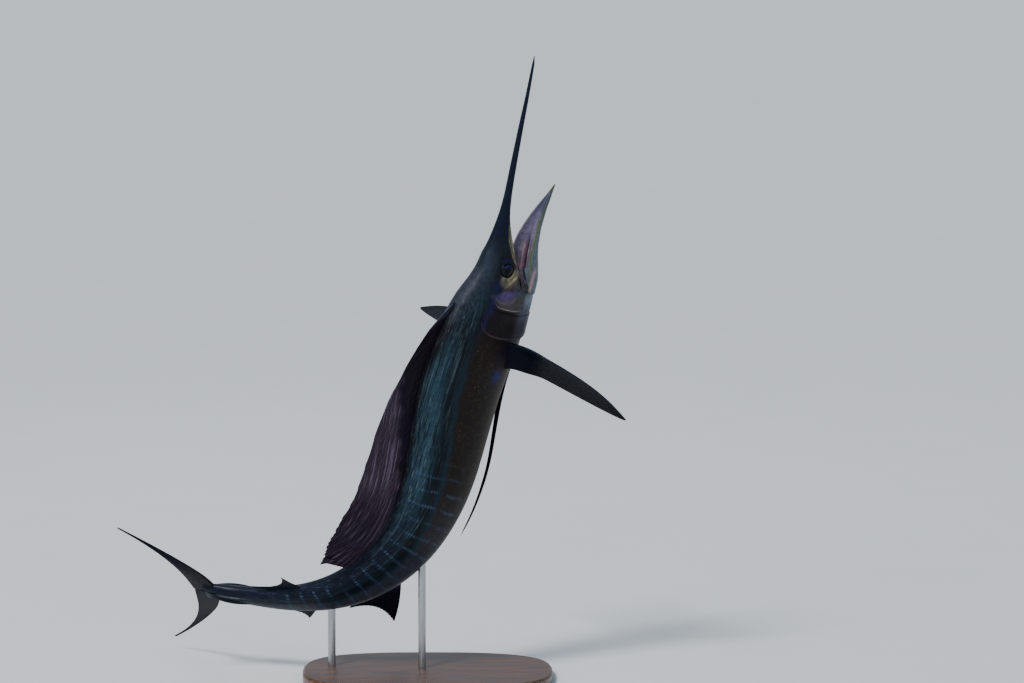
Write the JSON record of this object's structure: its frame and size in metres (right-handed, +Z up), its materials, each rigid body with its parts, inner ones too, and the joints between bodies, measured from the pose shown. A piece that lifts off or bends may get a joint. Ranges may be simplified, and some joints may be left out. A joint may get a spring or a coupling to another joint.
{
  "type": "sailfish display model",
  "caption": "Life-size sailfish leaping head up with its mouth open, fins spread and sail half folded, held by rods on a flat base.",
  "frame": {"origin": "centre of the underside of the stand's base", "axes": "+Z up, +X to the right in the picture, +Y away from the picture's viewer"},
  "size_m": [1.4596, 0.738, 1.8275],
  "materials": {
    "skin": "wet gloss, dark blue-black back, teal flank, bronze belly",
    "fin": "gloss, near-black violet membrane with paler rays",
    "eye": "high gloss, dark blue",
    "stand_wood": "dark satin",
    "stand_steel": "satin"
  },
  "bodies": {
    "root": {"bill": "skin", "head": "skin", "lower_jaw": "skin", "eye_left": "eye", "eye_right": "eye", "gill_cover_left": "skin", "gill_cover_right": "skin", "body_front": "skin", "body_middle": "skin", "body_rear": "skin", "tail_stem": "skin", "sail_front": "fin", "sail_middle": "fin", "sail_rear": "fin", "second_dorsal_fin": "fin", "first_anal_fin": "fin", "second_anal_fin": "fin", "pectoral_fin_left": "fin", "pectoral_fin_right": "fin", "pelvic_fin_left": "fin", "pelvic_fin_right": "fin", "tail_fin_upper": "fin", "tail_fin_lower": "fin", "stand_base": "stand_wood", "stand_rod_front": "stand_steel", "stand_rod_rear": "stand_steel"}
  },
  "joints": []
}
